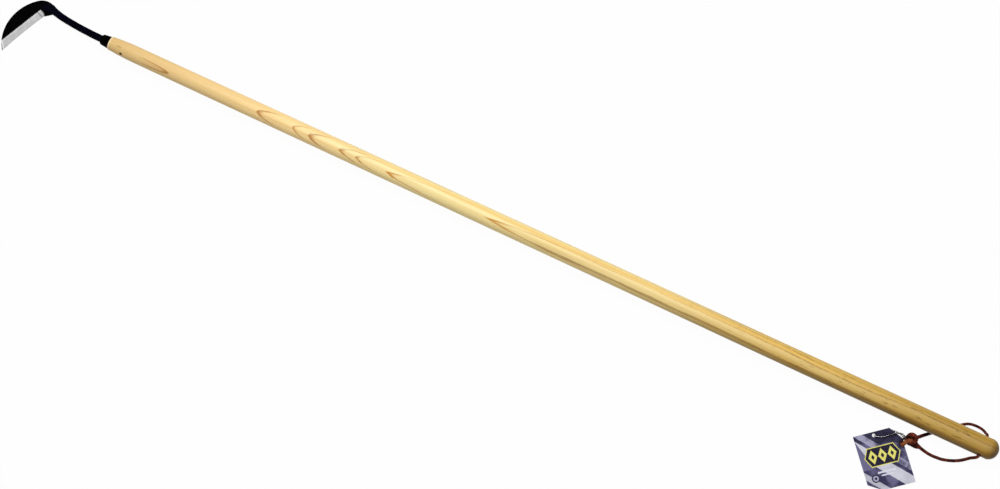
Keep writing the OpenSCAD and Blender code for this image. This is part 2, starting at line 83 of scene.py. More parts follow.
class Net:
    """A material: one Principled shader and the nodes that feed it."""

    def __init__(self, name):
        self.mat = bpy.data.materials.new(name)
        self.mat.use_nodes = True
        self.tree = self.mat.node_tree
        self.tree.nodes.clear()
        self.out = self.tree.nodes.new("ShaderNodeOutputMaterial")
        self.shader = self.tree.nodes.new("ShaderNodeBsdfPrincipled")
        self.tree.links.new(self.shader.outputs[0], self.out.inputs[0])

    def put(self, socket, value):
        """A link where the value is another node's socket, or else the value itself."""
        if isinstance(value, bpy.types.NodeSocket):
            self.tree.links.new(value, socket)
        else:
            socket.default_value = value

    def add(self, kind, inputs=(), **settings):
        node = self.tree.nodes.new(kind)
        for name, value in settings.items():
            setattr(node, name, value)
        for key, value in dict(inputs).items():
            self.put(node.inputs[key], value)
        return node

    def calc(self, operation, first, second=0.0):
        return self.add("ShaderNodeMath", {0: first, 1: second}, operation=operation).outputs[0]

    def plus(self, first, second):
        return self.calc("ADD", first, second)

    def minus(self, first, second):
        return self.calc("SUBTRACT", first, second)

    def over(self, first, second):
        return self.calc("DIVIDE", first, second)

    def times(self, first, *others):
        product = first
        for other in others:
            product = self.calc("MULTIPLY", product, other)
        return product

    def inverse(self, value):
        return self.minus(1.0, value)

    def lift(self, value, base, gain):
        """The base, with gain times the value on top of it."""
        return self.plus(base, self.times(value, gain))

    def sway(self, value, amount):
        """Noise as a swing round zero, by half of amount to either side."""
        return self.times(self.minus(value, NOISE_MIDDLE), amount)

    def band(self, value, low, high):
        """Smooth step from 0 at low to 1 at high."""
        return self.add("ShaderNodeMapRange", {"Value": value, "From Min": low, "From Max": high},
                        interpolation_type="SMOOTHSTEP").outputs[0]

    def fade(self, value, low, high):
        """Smooth step from 1 at low to 0 at high."""
        return self.inverse(self.band(value, low, high))

    def hump(self, value, rise, fall):
        """0, then 1 between the stretches rise and fall, then 0 again."""
        return self.times(self.band(value, *rise), self.fade(value, *fall))

    def mix(self, share, first, second):
        inputs = {MIX_SHARE: share, MIX_FIRST: first, MIX_SECOND: second}
        return self.add("ShaderNodeMix", inputs, data_type="RGBA", blend_type="MIX",
                        clamp_factor=True).outputs[MIX_RESULT]

    def paint(self, colour, mask, strength, tone):
        """The colour, with tone laid over it by strength where the mask is 1."""
        return self.mix(self.times(mask, strength), colour, tone)

    def coord(self, which="Object"):
        return self.add("ShaderNodeTexCoord").outputs[which]

    def split(self, vector):
        return self.add("ShaderNodeSeparateXYZ", {0: vector}).outputs

    def vector(self, operation, first, second=(0, 0, 0), output="Vector"):
        return self.add("ShaderNodeVectorMath", {0: first, 1: second},
                        operation=operation).outputs[output]

    def scaled(self, vector, scale, shift=(0, 0, 0)):
        return self.add("ShaderNodeMapping", {"Vector": vector, "Scale": scale,
                                              "Location": shift}).outputs[0]

    def noise(self, vector, scale, detail, rough):
        return self.add("ShaderNodeTexNoise", {"Vector": vector, "Scale": scale, "Detail": detail,
                                               "Roughness": rough}).outputs["Fac"]

    def grain(self, vector, scale, detail, rough=0.5, shift=(0, 0, 0)):
        """Noise with a scale of its own along each axis."""
        return self.noise(self.scaled(vector, scale, shift), 1.0, detail, rough)

    def cells(self, vector, scale, feature, **inputs):
        """Distance from the middle of the nearest cell."""
        inputs = {"Vector": vector, "Scale": scale, **inputs}
        return self.add("ShaderNodeTexVoronoi", inputs, feature=feature).outputs["Distance"]

    def upward(self, which):
        """How far up one of the surface's normals points, from -1 to 1."""
        return self.split(self.add("ShaderNodeNewGeometry").outputs[which])[2]

    def ramp(self, share, stops):
        node = self.add("ShaderNodeValToRGB", {0: share})
        elements = node.color_ramp.elements
        while len(elements) < len(stops):
            elements.new(NOISE_MIDDLE)
        for index, (position, colour) in enumerate(stops):
            elements[index].position = position
            elements[index].color = colour
        return node.outputs[0]

    def bump(self, height, strength, distance):
        return self.add("ShaderNodeBump", {"Height": height, "Strength": strength,
                                           "Distance": distance}).outputs[0]

    def shade(self, **values):
        """The finished material. A socket's name is written with _ for each space."""
        for name, value in values.items():
            self.put(self.shader.inputs[name.replace("_", " ")], value)
        return self.mat


def rgb(red, green, blue):
    """Linear colour of a value seen on a screen, 0 to 255."""
    def linear(level):
        level /= 255
        return level / 12.92 if level <= 0.04045 else ((level + 0.055) / 1.055) ** 2.4
    return (linear(red), linear(green), linear(blue), 1)


def grey(level):
    """Linear grey."""
    return (level, level, level, 1)


# Materials
# share of the wood's length from the nose, and the ground colour there
GROUND = ((0.0, rgb(218, 184, 122)), (0.2, rgb(244, 211, 146)), (0.36, rgb(243, 221, 155)),
          (0.60, rgb(238, 210, 139)), (0.80, rgb(214, 176, 90)), (1.0, rgb(172, 134, 50)))
GRAIN_HEAD, GRAIN_BUTT = rgb(206, 158, 96), rgb(138, 100, 44)
# grain arches: where the tip lies along the pole, its angle round the pole above the middle line
# of the side in view, how fast it opens, its width, its strength and its colour
ARCHES = ((242, -4, 0.127, 1.30, 0.88, (180, 118, 48)), (300, 0, 0.165, 1.0, 0.80, (186, 124, 56)),
          (325, -4, 0.14, 1.55, 0.90, (178, 114, 48)), (376, -4, 0.11, 1.0, 0.90, (180, 120, 48)),
          (401, -4, 0.095, 0.72, 0.85, (182, 120, 50)), (450, -9, 0.037, 0.50, 1.0, (196, 122, 22)),
          (606, -6, 0.018, 0.50, 0.95, (194, 126, 26)))
# the stain round the pin, the smear beside it and a dark fleck near the butt: the middle, the
# half sizes, how much of them is solid, the strength and the colour
SPOTS = (((23.5, -9.8, 23.6), (3.6, 3.2, 3.2), 0.45, 0.75, (96, 66, 34)),
         ((18, -3.0, 28.6), (7, 2.2, 3), 0.3, 0.55, (176, 130, 66)),
         ((1352, 1.0, 33.4), (5.5, 1.6, 3), 0.3, 0.7, (84, 56, 24)))
# painted shade at both mouths of the cross hole, given as a spot is
MOUTH_SHADE = ((HOLE_X - 0.4, 13.6, AXIS_Z + 1.4), (4.4, 3.4, 4.2), 0.55, 0.85, (52, 28, 8))


class Wood(Net):
    """Varnished wood, with the grain that the photograph shows on the side in view."""
    # direction of the side in view, square to the pole: across it and up
    VIEW = (-0.317, 0.948)
    # the pole's radius at the start of its taper, and how much it grows over the rest
    THIN_R, TAPER, TAPER_START, TAPER_LEN = 12.2, 2.8, 46, 1354
    # height of the high grain line on the side in view
    HIGH_LINE = 4.6

    def __init__(self):
        super().__init__("varnished_wood")
        self.place = self.coord()
        x, y, z = self.split(self.place)
        self.along = self.plus(self.times(x, MM), ORIGIN[0])
        across = self.plus(self.times(y, MM), ORIGIN[1])
        height = self.minus(self.times(z, MM), AXIS_Z)
        # millimetres up the side in view, and out of it
        self.up_side = self.plus(self.times(across, self.VIEW[1]), self.times(height, -self.VIEW[0]))
        self.facing = self.plus(self.times(across, self.VIEW[0]), self.times(height, self.VIEW[1]))
        self.low = self.streaks(5, 24, 2.0)
        self.waver = self.sway(self.streaks(24, 90, 2.0), 2.6)
        self.fibre = self.streaks(22, 950, 4.0, 0.6)
        self.pores = self.streaks(75, 2600, 2.0)
        self.streak = self.streaks(3.2, 170, 3.0, 0.55)
        self.frayed = self.lift(self.band(self.fibre, 0.38, 0.58), 0.62, 0.38)

    def streaks(self, along, across, detail, rough=0.5, shift=0.0):
        """Noise with one scale along the pole and another across it."""
        return self.grain(self.place, (along, across, across), detail, rough, (shift, 0, 0))

    def after(self, start, full):
        """Smooth step along the pole, from 0 at start to 1 at full."""
        return self.band(self.along, start, full)

    def stretch(self, start, stop):
        """1 between two places along the pole, with soft ends."""
        return self.gate(self.along, start, stop)

    def gate(self, value, low, high):
        """1 between low and high, with steps that reach a fifth of the width to both sides."""
        soft = (high - low) / 5
        return self.hump(value, (low - soft, low + soft), (high - soft, high + soft))

    def line(self, value, middle, sharp, soft):
        """Grain line that starts sharply at middle and dies away over soft."""
        return self.hump(self.minus(value, middle), (-sharp, 0.0), (0.0, soft))

    def spot(self, middle, half, solid):
        """1 in the middle of an ellipsoid and 0 outside it, with a ragged edge."""
        offset = self.vector("SUBTRACT", self.place, tuple(at(*middle)))
        offset = self.vector("MULTIPLY", offset, tuple(MM / size for size in half))
        ragged = self.sway(self.fibre, 0.8)
        distance = self.plus(self.vector("LENGTH", offset, output="Value"), ragged)
        return self.fade(distance, solid, 1.0)

    def ground(self):
        """Pale cream at the nose, warm yellow in the middle and brown-yellow at the butt."""
        unevenness = 160.0
        swayed = self.plus(self.along, self.sway(self.low, unevenness))
        colour = self.ramp(self.over(swayed, WOOD_LEN), GROUND)
        darker = self.mix(self.after(300, 1250), GRAIN_HEAD, GRAIN_BUTT)
        colour = self.paint(colour, self.band(self.streak, 0.48, 0.74), 0.38, darker)
        return self.paint(colour, self.band(self.fibre, 0.50, 0.76), 0.30, darker)

    def arches(self, colour):
        """Arches of the growth layers in the head half. Each begins over rise before its tip, and
        ends where it has opened from full to gone, all in millimetres."""
        rise, full, gone, sharp = 8, 2.0, 6.0, 0.3
        swayed = self.plus(self.along, self.times(self.waver, 2.2))
        for start, angle, slope, width, strength, tone in ARCHES:
            turn = math.radians(angle)
            layer = self.plus(self.times(self.facing, math.cos(turn)),
                              self.times(self.up_side, math.sin(turn)))
            layer = self.plus(layer, self.times(swayed, slope))
            radius = self.THIN_R + self.TAPER * (start - self.TAPER_START) / self.TAPER_LEN
            tip = radius + slope * start + sharp * width
            shown = self.hump(self.along, (start - rise, start), (start + full / slope, start + gone / slope))
            arch = self.times(self.line(layer, tip, sharp * width, width), shown)
            colour = self.paint(colour, arch, strength, rgb(*tone))
        return colour

    def nose_arch(self, colour):
        """Reversed arch by the nose, a rounded ring that is stretched along the pole."""
        middle, half_length, half_width, roundness = 57.0, 42.0, 4.0, 2.6
        shift, skew, lean = 0.7, 0.5, (0.951, 0.309)
        aside = self.plus(self.times(self.up_side, lean[0]), self.times(self.facing, lean[1]))
        swayed = self.plus(self.along, self.times(self.waver, 1.5))
        far_x = self.over(self.minus(swayed, middle), half_length)
        far_y = self.over(self.plus(self.plus(aside, shift), self.times(far_x, skew)), half_width)
        powers = [self.calc("POWER", self.calc("ABSOLUTE", far), roundness) for far in (far_x, far_y)]
        ring = self.calc("SQRT", self.plus(*powers))
        inside = self.times(self.fade(ring, 0.85, 1.1), self.after(48, 84))
        colour = self.paint(colour, inside, 0.34, rgb(196, 142, 84))
        rim = self.times(self.hump(ring, (0.66, 0.96), (0.98, 1.16)), self.after(44, 72))
        return self.paint(colour, rim, 0.84, rgb(168, 112, 48))

    def pale_rim_and_highlight(self, colour):
        """Paler rim at the nose, and a painted highlight on the palest stretch of the side in view."""
        colour = self.paint(colour, self.fade(self.along, 1.5, 3.2), 0.6, rgb(250, 232, 196))
        # painted highlight high on the side in view
        painted_side_highlight = self.times(self.gate(self.up_side, 0.5, 6.5), self.stretch(330, 660))
        return self.paint(colour, painted_side_highlight, 0.34, rgb(248, 240, 182))

    def high_lines(self, colour):
        """The long line high on the side in view of the butt half, the one above it, and the glow
        and the pale band beside them."""
        level = self.HIGH_LINE
        sag = self.minus(self.times(self.stretch(1100, 1225), 1.6),
                         self.times(self.stretch(1262, 1345), 0.9))
        high = self.plus(self.minus(self.up_side, self.times(self.waver, 0.8)), sag)
        # the lines are broken into long dashes and short ones
        long_dash = self.band(self.streaks(7, 60, 2.0, shift=0.3), 0.40, 0.56)
        short_dash = self.band(self.streaks(210, 60, 3.0, 0.6), 0.40, 0.56)
        dash = self.times(self.lift(long_dash, 0.55, 0.45), self.lift(short_dash, 0.55, 0.75))
        # the first starts in the middle, gets stronger and fades before the hole
        first = self.times(self.line(high, level, 0.7, 2.2), dash, self.after(600, 740),
                           self.frayed, self.lift(self.after(1050, 1130), 0.6, 0.4))
        first = self.times(first, self.lift(self.after(1320, 1372), 0.86, -0.5))
        tone = self.mix(self.after(1040, 1120), rgb(150, 108, 34), rgb(92, 58, 4))
        colour = self.mix(first, colour, tone)
        second = self.line(self.plus(high, self.sway(self.low, 5.0)), level + 5.6, 0.8, 1.6)
        second = self.times(second, dash, self.after(760, 1000), self.frayed)
        colour = self.paint(colour, second, 0.6, rgb(150, 112, 30))
        glow = self.times(self.gate(high, level + 1.0, level + 5.0), self.stretch(440, 1180))
        colour = self.paint(colour, glow, 0.45, rgb(232, 182, 78))
        under = self.hump(high, (level - 12.0, level - 4.0), (level - 2.4, level + 0.4))
        under = self.times(under, self.after(600, 860),
                           self.lift(self.after(1080, 1320), 0.36, -0.22))
        return self.mix(under, colour, rgb(238, 216, 156))

    def low_line(self, colour):
        """The long line low on the side in view of the butt half."""
        level = self.plus(self.plus(self.up_side, self.times(self.waver, 0.8)),
                          self.times(self.after(930, 1150), 1.9))
        line = self.times(self.gate(level, -8.6, -5.4), self.after(640, 730), self.frayed)
        return self.paint(colour, line, 0.66, rgb(136, 92, 28))

    def butt(self, colour):
        """Painted shade: the under half darkens to brown towards the butt in ragged streaks, and a little all
        along, and the end is dark, most on its lower side.
        """
        # painted shade on the under side: ragged towards the butt, and faint all along the pole
        edge = self.plus(self.plus(self.up_side, self.waver), self.sway(self.streak, 7.0))
        ragged = self.times(self.fade(edge, -13.5, -6.0), self.after(700, 1300))
        below = self.fade(self.up_side, -12.5, -3.0)
        shade = self.plus(self.times(ragged, 0.74), self.times(below, 0.08))
        colour = self.mix(shade, colour, rgb(86, 58, 4))
        # painted shade on the rounded end, strongest on its lower side and darkest at the very end
        end_shade_strength = self.lift(self.fade(self.up_side, -9.0, 6.0), 0.30, 0.55)
        colour = self.paint(colour, self.after(1378, 1397), end_shade_strength, rgb(112, 76, 12))
        return self.paint(colour, self.after(1388, 1398), 0.72, rgb(66, 42, 10))

    def ticks_and_pores(self, colour):
        """Short dark ticks and open pores of the butt half."""
        ticks = self.times(self.band(self.streaks(60, 430, 2.0), 0.61, 0.70), self.after(760, 1320))
        colour = self.paint(colour, ticks, 0.62, rgb(108, 74, 22))
        open_pores = self.times(self.band(self.pores, 0.62, 0.76), self.after(500, 1300))
        return self.paint(colour, open_pores, 0.22, rgb(92, 60, 28))

    def stains_and_mouth_shade(self, colour):
        for middle, half, solid, strength, tone in SPOTS:
            colour = self.paint(colour, self.spot(middle, half, solid), strength, rgb(*tone))
        # painted shade at both mouths of the cross hole
        middle, half, solid, strength, tone = MOUTH_SHADE
        for side in (-1, 1):
            mouth_shade = self.spot((middle[0], side * middle[1], middle[2]), half, solid)
            colour = self.paint(colour, mouth_shade, strength, rgb(*tone))
        return colour


def wood():
    net = Wood()
    colour = net.ground()
    for layer in (net.arches, net.nose_arch, net.pale_rim_and_highlight, net.high_lines, net.low_line, net.butt,
                  net.ticks_and_pores, net.stains_and_mouth_shade):
        colour = layer(colour)
    height = net.plus(net.times(net.fibre, 0.6), net.times(net.pores, 0.4))
    return net.shade(Base_Color=colour, Roughness=net.lift(net.fibre, 0.40, 0.16),
                     Normal=net.bump(height, 0.10, 0.0004), Specular_IOR_Level=0.26,
                     Coat_Weight=0.04, Coat_Roughness=0.3, Coat_IOR=1.5)


def forged(name, tint, rough_from, blueing=0.0):
    """Black forge finish: a linear tint, cloudy, lighter in places, scuffed and dented."""
    lighter, worn, worn_blue = 2.2, 0.012, 0.014
    net = Net(name)
    place = net.coord()
    broad = net.noise(place, 95.0, 4.0, 0.55)
    fine = net.noise(place, 950.0, 4.0, 0.6)
    dents = net.cells(place, 160.0, "SMOOTH_F1", Smoothness=1.0)
    light = tuple(level * lighter for level in tint)
    colour = net.mix(net.band(broad, 0.42, 0.70), (*tint, 1), (*light, 1))
    scuff = net.times(net.band(fine, 0.60, 0.76), net.band(broad, 0.45, 0.62))
    colour = net.paint(colour, scuff, 0.5, (worn, worn, worn_blue + blueing, 1))
    height = net.plus(net.times(dents, 0.55), net.times(fine, 0.25))
    return net.shade(Base_Color=colour, Roughness=net.lift(fine, rough_from, 0.22),
                     Normal=net.bump(height, 0.35, 0.0006), Metallic=0.0, Specular_IOR_Level=0.01)


# where the blade's heel is, and how far its edge is turned from the pole's line
HEEL = (-113.539, -0.35463)
BLADE_TURN = math.radians(69.4)
# its sizes in millimetres
EDGE_LEN, HEEL_BEVEL, TIP_BEVEL = 80, 10.8, 12.6
BEVEL_SKEW = math.atan((TIP_BEVEL - HEEL_BEVEL) / EDGE_LEN)
TIP_SLANT = 0.59
# the bevel's inner line and the polished line along it, in metres, as the blade's own coordinates
# are: from the heel, along the edge and across it
BEVEL_LINE, RAGGED = (0.0096, 0.0113), 0.0022
POLISHED = ((0.0078, 0.0094), (0.0104, 0.0112))
# how much of a normal points up on a flat face, on the honed strip and on a nearly upright face
FLAT_FACE, HONED_FACE, UPRIGHT_FACE = (0.975, 0.995), (0.5, 0.9), (0.05, 0.3)


def blade_steel():
    """Forge scale on the flat, and ground steel on the bevel, the honed strip and the tip."""
    net = Net("blade_steel")
    heel = at(*HEEL, 0)
    turned = net.add("ShaderNodeVectorRotate", {
        "Vector": net.scaled(net.coord(), (1, 1, 1), (-heel.x, -heel.y, 0)), "Angle": -BLADE_TURN},
        rotation_type="Z_AXIS").outputs[0]
    axes = net.split(turned)
    along, across = axes[0], axes[1]
    fine = net.grain(turned, (900, 2600, 900), 3.0, 0.6)
    cloud = net.noise(turned, 75.0, 4.0, 0.6)
    speck = net.noise(turned, 620.0, 3.0, 0.6)
    slope = net.upward("True Normal")

    # where the steel is ground: below the bevel's ragged inner line, or on the steeper faces
    skewed = net.plus(across, net.times(along, math.tan(BEVEL_SKEW)))
    ragged = net.plus(skewed, net.sway(speck, RAGGED))
    below = net.fade(ragged, *BEVEL_LINE)
    tilted = net.times(net.fade(slope, *FLAT_FACE), net.band(slope, *UPRIGHT_FACE))
    steep = net.calc("LESS_THAN", slope, HONED_FACE[1])
    ground = net.times(tilted, net.calc("MAXIMUM", below, steep))

    scale = net.mix(net.band(cloud, 0.40, 0.68), grey(0.0002), grey(0.0008))
    scale = net.paint(scale, net.band(speck, 0.62, 0.76), 0.5, grey(0.010))
    marks = net.plus(net.times(fine, 0.6), net.times(cloud, 0.4))
    steel = net.ramp(marks, ((0.30, rgb(142, 142, 142)), (0.52, rgb(171, 171, 171)),
                             (0.72, rgb(197, 197, 197))))
    # the polished line where the grinding stops, painted shade at the bevel's end by the heel, the
    # bright line before the tip's own small bevel and that bevel, and the honed strip
    tip = net.minus(along, net.times(across, TIP_SLANT))
    honed = net.times(steep, net.calc("GREATER_THAN", slope, HONED_FACE[0]))
    for mask, strength, tone in (
            (net.hump(ragged, *POLISHED), 0.35, (216, 216, 215)),
            # painted shade at the end of the bevel by the heel
            (net.hump(along, (-0.0036, -0.0026), (-0.0014, -0.0006)), 0.8, (118, 118, 124)),
            (net.hump(tip, (-0.0772, -0.0766), (-0.0754, -0.0746)), 0.8, (208, 208, 207)),
            (net.fade(tip, -0.0778, -0.0772), 0.8, (112, 112, 114)),
            (honed, 0.5, (196, 197, 198))):
        steel = net.paint(steel, mask, strength, rgb(*tone))
    rough = net.plus(net.times(ground, -0.12), net.lift(speck, 0.46, 0.2))
    height = net.plus(net.times(fine, ground), net.times(net.plus(cloud, speck), 0.5))
    return net.shade(Base_Color=net.mix(ground, scale, steel), Roughness=rough,
                     Metallic=net.times(ground, 0.12), Normal=net.bump(height, 0.25, 0.0004),
                     Specular_IOR_Level=0.01)


# places by the knot and on the far strand with painted shade, from the hole, and how far it reaches
LACE_SHADE_SPOTS = (((-86.5, -38.5, 5), 9.0), ((-71, -8.5, 3), 13.0), ((-79, -16.5, 4), 7.0),
          ((-96.4, -31.5, 8), 4.5))
LACE_SHADE_CORE = 0.45


def leather(name, deep, light, painted_highlight_tone):
    net = Net(name)
    place = net.coord()
    grain = net.cells(place, 1500.0, "F1")
    broad = net.noise(place, 210.0, 3.0, 0.6)
    fine = net.noise(place, 1500.0, 3.0, 0.6)
    highlight_and_crease_shade = net.noise(place, 620.0, 2.0, 0.5)
    colour = net.mix(net.band(broad, 0.36, 0.66), rgb(*deep), rgb(*light))
    # painted highlights where this noise is high, and painted shade in creases where it is low
    colour = net.paint(colour, net.band(highlight_and_crease_shade, 0.56, 0.66), 0.6, rgb(*painted_highlight_tone))
    colour = net.paint(colour, net.band(highlight_and_crease_shade, 0.44, 0.34), 0.5, rgb(10, 4, 4))
    # painted shade in the knot's crease and hollow, and the pole's painted shadow on the far strand
    for (x, y, z), reach in LACE_SHADE_SPOTS:
        middle = tuple(at(HOLE_X + x, y, z))
        distance = net.vector("DISTANCE", place, middle, output="Value")
        painted_shade = net.fade(distance, LACE_SHADE_CORE * reach / MM, reach / MM)
        colour = net.paint(colour, painted_shade, 0.72, rgb(22, 8, 9))
    height = net.plus(net.times(grain, 0.6), net.times(fine, 0.5))
    return net.shade(Base_Color=colour, Roughness=net.lift(broad, 0.48, 0.25),
                     Normal=net.bump(height, 0.5, 0.0003), Specular_IOR_Level=0.07)


def plated():
    """Plated beads, dark, with a painted highlight on top: bright on the beads on the card and faint on those
    by the leather.
    """
    faint_from, faint_to = at(HOLE_X - 128, 0, 0).x, at(HOLE_X - 121, 0, 0).x
    net = Net("plated_steel")
    place = net.coord()
    spots = net.noise(place, 900.0, 3.0, 0.6)
    colour = net.mix(net.band(spots, 0.35, 0.7), rgb(58, 58, 54), rgb(92, 92, 86))
    # painted highlight on the tops of the beads, faint by the leather
    highlight_share = net.fade(net.split(place)[0], faint_from, faint_to)
    top = net.times(net.band(net.upward("Normal"), 0.84, 0.985), net.lift(highlight_share, 0.12, 0.88))
    return net.shade(Base_Color=net.mix(top, colour, rgb(232, 232, 226)),
                     Roughness=net.lift(spots, 0.12, 0.16), Metallic=1.0,
                     Normal=net.bump(spots, 0.08, 0.0002))


class Card(Net):
    """Printed card. Its UV coordinates are millimetres across and up from the punched hole."""
    INK, NAVY, SLATE = rgb(26, 23, 46), rgb(48, 44, 78), rgb(104, 100, 134)
    SILVER, PALE, YELLOW = rgb(158, 156, 182), rgb(214, 214, 226), rgb(222, 216, 112)
    # how far a printed edge is soft to both sides
    SOFT = 0.12
    # direction in which the bands of light follow each other
    LIGHT = (0.72, 0.70)
    # middles of the field, of the bars across the card, and of the ring
    FIELD, BARS, RING = (3.5, -30.0), 3, (-15.0, -60.0)

    def __init__(self):
        super().__init__("printed_card")
        axes = self.split(self.coord("UV"))
        self.across, self.up = axes[0], axes[1]
        self.cloud = self.grain(self.coord(), (55, 55, 55), 4.0, 0.6)

    def past(self, way, limit):
        """1 further than limit that way, given as its two parts, with a printed edge."""
        reached = self.plus(self.times(self.across, way[0]), self.times(self.up, way[1]))
        return self.band(reached, limit - self.SOFT, limit + self.SOFT)

    def stripe(self, way, low, high):
        return self.times(self.past(way, low), self.inverse(self.past(way, high)))

    def ground(self):
        """Cloudy dark blue, with painted shadow that makes it nearly black at the top, and slanting bands of
        light.
        """
        colour = self.mix(self.band(self.cloud, 0.42, 0.66), self.NAVY, self.SLATE)
        # painted shadow over the top of the card
        colour = self.paint(colour, self.past((0.2, 1), -12), 0.75, self.INK)
        for low, high, light, tone in ((-17, -8, self.band(self.cloud, 0.3, 0.6), self.SILVER),
                                       (-38, -22, self.lift(self.cloud, 0.55, 0.5), self.PALE),
                                       (-62, -54, self.lift(self.cloud, 0.35, 0.6), self.PALE)):
            colour = self.mix(self.times(self.stripe(self.LIGHT, low, high), light), colour, tone)
        side = self.times(self.inverse(self.past((1, 0.4), -30)), self.past((0, 1), -46))
        return self.mix(side, colour, self.SLATE)

    def field(self, colour):
        """A dark six-sided field with a yellow rim and three yellow diamonds."""
        half_width, half_height = 24.5, 12.4
        away = self.calc("ABSOLUTE", self.minus(self.across, self.FIELD[0]))
        level = self.calc("ABSOLUTE", self.minus(self.up, self.FIELD[1]))
        corner = self.plus(self.times(level, 0.5), away)
        for grown, tone in ((1.5, self.YELLOW), (0.2, self.INK)):
            high, wide = half_height + grown, half_width + grown
            inside = self.times(self.fade(level, high, high + 0.2), self.fade(corner, wide, wide + 0.3))
            colour = self.mix(inside, colour, tone)
        for middle in (-10.5, 3.5, 17.5):
            beside = self.calc("ABSOLUTE", self.minus(self.across, middle))
            diamond = self.plus(beside, self.times(level, 0.62))
            colour = self.mix(self.fade(diamond, 6.3, 6.5), colour, self.YELLOW)
            colour = self.mix(self.fade(diamond, 2.4, 2.6), colour, self.INK)
        return colour

    def bars_and_ring(self, colour):
        """Two short bars and a ring below the field."""
        for low, high, reach in ((-54.2, -51.8, 13), (-58.6, -56.8, 9)):
            bar = self.times(self.stripe((0, 1), low, high),
                             self.stripe((1, 0), self.BARS - reach, self.BARS + reach))
            colour = self.mix(bar, colour, self.PALE)
        squares = [self.calc("POWER", self.minus(axis, middle), 2.0)
                   for axis, middle in zip((self.across, self.up), self.RING)]
        radius = self.calc("SQRT", self.plus(*squares))
        colour = self.mix(self.fade(radius, 5.8, 6.1), colour, self.INK)
        return self.mix(self.hump(radius, (1.6, 1.9), (4.0, 4.3)), colour, self.SILVER)


def card():
    net = Card()
    colour = net.bars_and_ring(net.field(net.ground()))
    fibre = net.grain(net.coord(), (900, 900, 900), 3.0, 0.6)
    colour = net.paint(colour, net.band(fibre, 0.5, 0.8), 0.10, rgb(225, 222, 230))
    return net.shade(Base_Color=colour, Roughness=net.lift(fibre, 0.48, 0.18),
                     Normal=net.bump(fibre, 0.12, 0.0002), Specular_IOR_Level=0.08)


def card_edge():
    net = Net("card_edge")
    layers = net.grain(net.coord(), (1500, 1500, 6000), 3.0, 0.6)
    return net.shade(Base_Color=net.mix(layers, rgb(196, 192, 200), rgb(238, 236, 238)),
                     Roughness=0.75, Normal=net.bump(layers, 0.4, 0.0002))


LEATHER = leather("leather", (44, 13, 8), (104, 38, 22), (150, 76, 56))
DARK_TAIL = leather("leather_dark", (20, 9, 7), (46, 22, 15), (84, 44, 32))
WORN_TAIL = leather("leather_worn", (92, 44, 22), (142, 80, 44), (168, 108, 74))
CUT = leather("leather_cut", (140, 78, 44), (186, 116, 70), (206, 150, 106))
BLACK = forged("black_ferrule", (0.0006, 0.0005, 0.0005), 0.42)
NECK = forged("forged_neck", (0.0007, 0.0006, 0.0032), 0.42, 0.010)
PIN = forged("pin_steel", (0.006, 0.005, 0.004), 0.44)


# Mesh helpers
def piece(name, points, faces, mats, body, indices=None, smooth=True):
    """A new mesh object that rides on a body, with a material for each face's index."""
    mesh = bpy.data.meshes.new(name)
    mesh.from_pydata([tuple(point) for point in points], [], faces)
    for mat in mats:
        mesh.materials.append(mat)
    if indices:
        mesh.polygons.foreach_set("material_index", indices)
    mesh.polygons.foreach_set("use_smooth", [smooth] * len(mesh.polygons))
    mesh.validate()
    mesh.update()
    made_piece = bpy.data.objects.new(name, mesh)
    scene.collection.objects.link(made_piece)
    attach(made_piece, body)
    return made_piece


def spline(points, steps):
    """Smooth line through the points, with so many steps from each to the next."""
    ends = [points[0] * 2 - points[1], *points, points[-1] * 2 - points[-2]]
    smooth_line = []
    for before, start, stop, after in zip(ends, ends[1:], ends[2:], ends[3:]):
        for step in range(steps):
            t = step / steps
            smooth_line.append(0.5 * (2 * start + (stop - before) * t
                                      + (2 * before - 5 * start + 4 * stop - after) * t * t
                                      + (3 * start - before - 3 * stop + after) * t ** 3))
    return smooth_line + [points[-1].copy()]


def skin(rings, around):
    """Faces between rings of as many points as around, with a lid on each end."""
    faces = []
    for ring in range(rings - 1):
        for step in range(around):
            here, beside = ring * around + step, ring * around + (step + 1) % around
            faces.append((here, here + around, beside + around, beside))
    last = (rings - 1) * around
    faces.append(tuple(range(around)))
    faces.append(tuple(range(last + around - 1, last - 1, -1)))
    return faces


SIDES = 20
# a direction's share in the floor's plane where it counts as upright, and where as lying
UPRIGHT_BELOW, LYING_ABOVE = 0.1, 0.5
FLAT_PULL = 0.6
# the unevenness: its scale along the path, and the radius at which a ring's points sample it
ROUGH_SCALE, ROUGH_REACH = 900, 3
LOWEST = 0.0001


def tube(path, size, twist, wobble, seed=0.0):
    """Rings along a path. size(share) gives width and height at a share of it. A ring without
    twist is drawn towards lying flat, wobble makes it uneven, and nothing goes below the floor."""
    points = []
    ways = [(after - before).normalized()
            for before, after in zip([path[0], *path], [*path[1:], path[-1]])]
    side = ways[0].cross(UPRIGHT)
    if side.length < UPRIGHT_BELOW:
        side = ways[0].cross(Vector((0, 1, 0)))
    side.normalize()
    for index, (middle, way) in enumerate(zip(path, ways)):
        side = (side - way * side.dot(way)).normalized()
        flat = way.cross(UPRIGHT)
        if twist == 0 and flat.length > LYING_ABOVE:
            flat.normalize()
            pull = FLAT_PULL if flat.dot(side) > 0 else -FLAT_PULL
            side = (side + flat * pull).normalized()
        top = side.cross(way)
        share = index / (len(path) - 1)
        width, height = size(share)
        for step in range(SIDES):
            turn = FULL_TURN * step / SIDES + twist * share
            rough_at = (middle * ROUGH_SCALE + seed * UPRIGHT
                        + ROUGH_REACH * Vector((math.cos(turn), math.sin(turn), 0)))
            uneven = 1 + wobble * noise.noise(rough_at)
            point = (middle + side * (math.cos(turn) * width / 2 * uneven)
                     + top * (math.sin(turn) * height / 2 * uneven))
            point.z = max(point.z, LOWEST)
            points.append(point)
    return points, skin(len(path), SIDES)


def from_hole(points):
    return [at(HOLE_X + x, y, z) for x, y, z in points]


